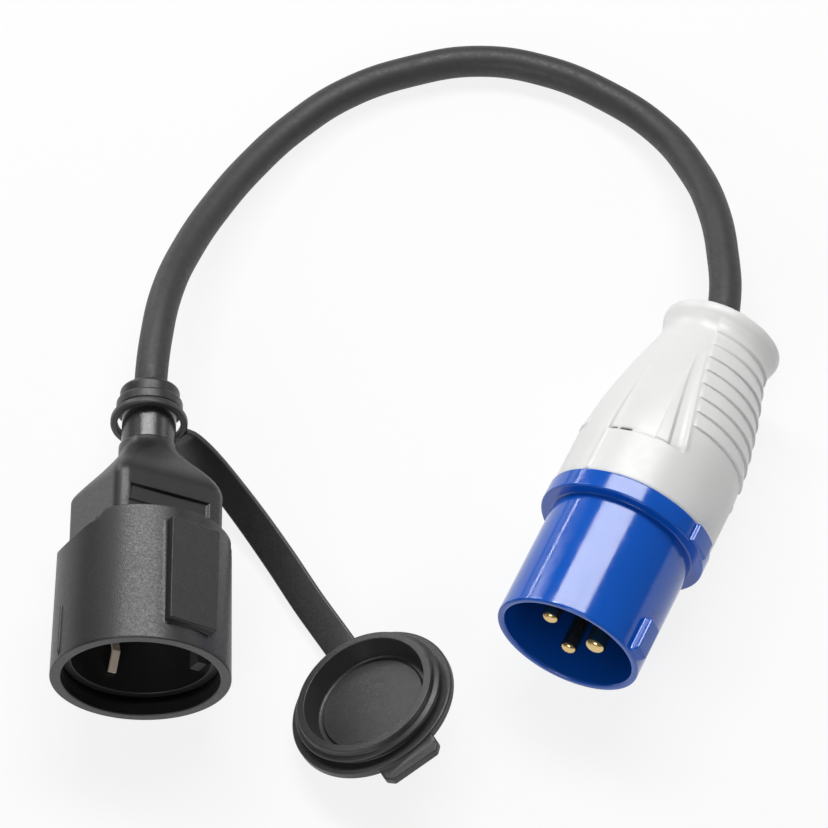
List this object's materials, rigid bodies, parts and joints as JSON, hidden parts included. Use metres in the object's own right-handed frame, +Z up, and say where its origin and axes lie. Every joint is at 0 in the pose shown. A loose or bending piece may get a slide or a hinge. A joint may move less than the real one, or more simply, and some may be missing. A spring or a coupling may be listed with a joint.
{
  "type": "plug adapter",
  "caption": "Adapter lead from a round blue three-pin site plug in a white housing to a black rubber earthed coupler with a tethered sealing cap, joined by a short black cable.",
  "frame": {"origin": "on the table under the middle of the rigid parts, the cable left out", "axes": "-Y the way the plug's pins point, +X from the coupler to the plug, +Z up from the table"},
  "size_m": [0.192, 0.27, 0.0529],
  "materials": {
    "white_housing": "satin moulded plastic",
    "blue_shroud": "glossy moulded plastic",
    "seal_rubber": "matt rubber",
    "dark_insert": "satin moulded plastic",
    "brass_pin": "turned brass",
    "steel_screw": "zinc-plated steel",
    "coupler_rubber": "satin moulded rubber",
    "earth_strip": "bare copper-alloy strip",
    "cable_rubber": "matt extruded rubber",
    "core_earth": "insulation",
    "core_line": "insulation",
    "core_neutral": "insulation"
  },
  "bodies": {
    "lead": {"plug_housing": "white_housing", "plug_shroud": "blue_shroud", "housing_seal": "seal_rubber", "pin_carrier": "dark_insert", "earth_pin": "brass_pin", "line_pin": "brass_pin", "neutral_pin": "brass_pin", "terminal_screws": "steel_screw", "clamp_saddle": "dark_insert", "clamp_screws": "steel_screw", "cable_grommet": "seal_rubber", "plug_core_earth": "core_earth", "plug_core_line": "core_line", "plug_core_neutral": "core_neutral", "coupler_body": "coupler_rubber", "contact_insert": "dark_insert", "line_contact": "brass_pin", "neutral_contact": "brass_pin", "earth_bracket": "earth_strip", "coupler_core_earth": "core_earth", "coupler_core_line": "core_line", "coupler_core_neutral": "core_neutral", "cable": "cable_rubber"},
    "cap": {"sealing_cap": "coupler_rubber"}
  },
  "joints": [
    {"name": "cap_swivel", "type": "hinge", "parent": "lead", "child": "cap", "pos_m": [-0.07784, -0.00554, 0.026], "axis": [0.4226, -0.9063, 0], "continuous": true}
  ]
}
